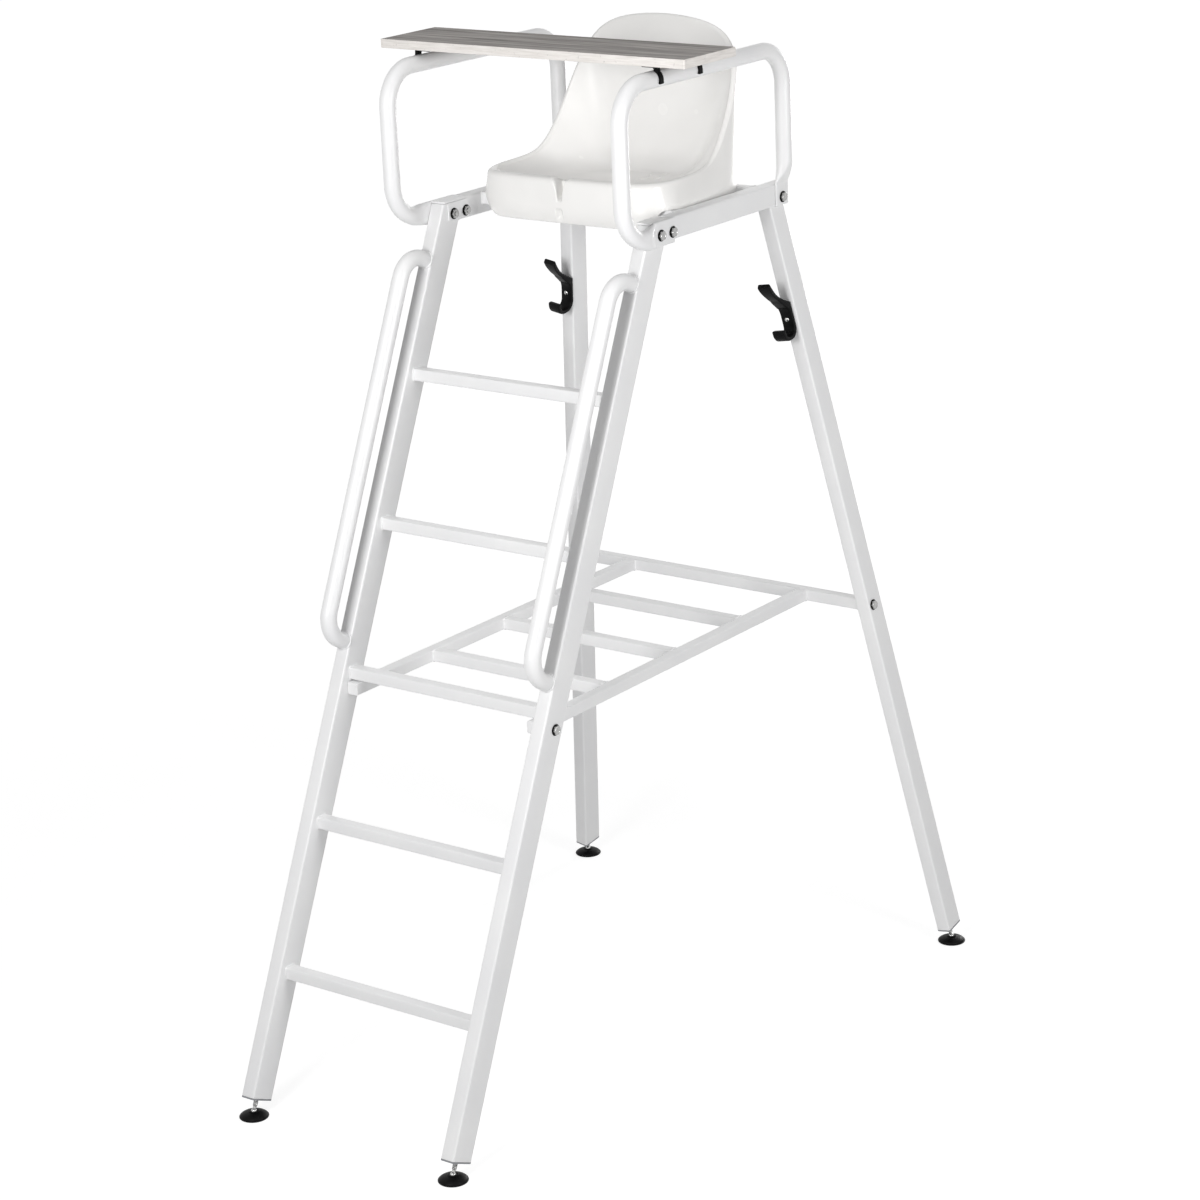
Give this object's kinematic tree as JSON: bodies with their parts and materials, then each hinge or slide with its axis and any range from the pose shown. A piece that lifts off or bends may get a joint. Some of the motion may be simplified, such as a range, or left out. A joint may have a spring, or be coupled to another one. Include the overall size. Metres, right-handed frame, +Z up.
{
  "type": "umpire chair",
  "caption": "High ladder-fronted umpire chair of white tube with a moulded bucket seat, armrest loops, writing board, luggage shelf, bag hooks and levelling feet.",
  "frame": {"origin": "on the floor under the middle of the overall box", "axes": "+Z up, the ladder faces -Y, +X across the chair to the sitter's left"},
  "size_m": [1.058, 1.525, 2.055],
  "materials": {
    "white_powder_coat": "satin white powder coat on steel tube",
    "seat_plastic": "glossy warm white moulded plastic",
    "black_plastic": "satin black",
    "grey_plastic": "matt grey",
    "bright_steel": "bright zinc",
    "board_laminate": "grey wood-grain laminate"
  },
  "bodies": {
    "frame": {"front_leg_left": "white_powder_coat", "rear_leg_left": "white_powder_coat", "seat_side_rail_left": "white_powder_coat", "joint_plate_left": "white_powder_coat", "handrail_left": "white_powder_coat", "armrest_left": "white_powder_coat", "shelf_bar_left": "white_powder_coat", "front_leg_right": "white_powder_coat", "rear_leg_right": "white_powder_coat", "seat_side_rail_right": "white_powder_coat", "joint_plate_right": "white_powder_coat", "handrail_right": "white_powder_coat", "armrest_right": "white_powder_coat", "shelf_bar_right": "white_powder_coat", "rung_1": "white_powder_coat", "rung_2": "white_powder_coat", "rung_3": "white_powder_coat", "rung_4": "white_powder_coat", "rung_5": "white_powder_coat", "seat_cross_rail_front": "white_powder_coat", "seat_cross_rail_rear": "white_powder_coat", "shelf_cross_1": "white_powder_coat", "shelf_cross_2": "white_powder_coat", "shelf_cross_3": "white_powder_coat", "shelf_rear_bar": "white_powder_coat", "front_bolt_1_left": "bright_steel", "front_bolt_2_left": "bright_steel", "rear_bolt_left": "bright_steel", "shelf_front_bolt_left": "bright_steel", "shelf_rear_bolt_left": "bright_steel", "hook_screw_left": "bright_steel", "front_bolt_1_right": "bright_steel", "front_bolt_2_right": "bright_steel", "rear_bolt_right": "bright_steel", "shelf_front_bolt_right": "bright_steel", "shelf_rear_bolt_right": "bright_steel", "hook_screw_right": "bright_steel", "hook_left": "black_plastic", "hook_right": "black_plastic", "leg_cap_front_left": "grey_plastic", "leg_cap_rear_left": "grey_plastic", "leg_cap_front_right": "grey_plastic", "leg_cap_rear_right": "grey_plastic", "seat": "seat_plastic"},
    "board": {"writing_board": "board_laminate", "board_clip_front_left": "black_plastic", "board_clip_rear_left": "black_plastic", "board_clip_front_right": "black_plastic", "board_clip_rear_right": "black_plastic"},
    "spindle_front_left": {"foot_spindle_front_left": "bright_steel"},
    "pad_front_left": {"foot_pad_front_left": "black_plastic"},
    "spindle_rear_left": {"foot_spindle_rear_left": "bright_steel"},
    "pad_rear_left": {"foot_pad_rear_left": "black_plastic"},
    "spindle_front_right": {"foot_spindle_front_right": "bright_steel"},
    "pad_front_right": {"foot_pad_front_right": "black_plastic"},
    "spindle_rear_right": {"foot_spindle_rear_right": "bright_steel"},
    "pad_rear_right": {"foot_pad_rear_right": "black_plastic"}
  },
  "joints": [
    {"name": "board_slide", "type": "slide", "parent": "frame", "child": "board", "axis": [0, 1, 0], "range_m": [-0.025, 0.2]},
    {"name": "level_front_left", "type": "slide", "parent": "frame", "child": "spindle_front_left", "axis": [0, -0.4095, -0.9123], "range_m": [-0.006, 0.012]},
    {"name": "swivel_front_left", "type": "hinge", "parent": "spindle_front_left", "child": "pad_front_left", "pos_m": [-0.255, -0.7325, 0.012], "axis": [1, 0, 0], "range_deg": [-12, 12]},
    {"name": "level_rear_left", "type": "slide", "parent": "frame", "child": "spindle_rear_left", "axis": [-0.1451, 0.1659, -0.9754], "range_m": [-0.006, 0.012]},
    {"name": "swivel_rear_left", "type": "hinge", "parent": "spindle_rear_left", "child": "pad_rear_left", "pos_m": [-0.499, 0.7325, 0.012], "axis": [1, 0, 0], "range_deg": [-12, 12]},
    {"name": "level_front_right", "type": "slide", "parent": "frame", "child": "spindle_front_right", "axis": [0, -0.4095, -0.9123], "range_m": [-0.006, 0.012]},
    {"name": "swivel_front_right", "type": "hinge", "parent": "spindle_front_right", "child": "pad_front_right", "pos_m": [0.255, -0.7325, 0.012], "axis": [1, 0, 0], "range_deg": [-12, 12]},
    {"name": "level_rear_right", "type": "slide", "parent": "frame", "child": "spindle_rear_right", "axis": [0.1451, 0.1659, -0.9754], "range_m": [-0.006, 0.012]},
    {"name": "swivel_rear_right", "type": "hinge", "parent": "spindle_rear_right", "child": "pad_rear_right", "pos_m": [0.499, 0.7325, 0.012], "axis": [1, 0, 0], "range_deg": [-12, 12]}
  ]
}
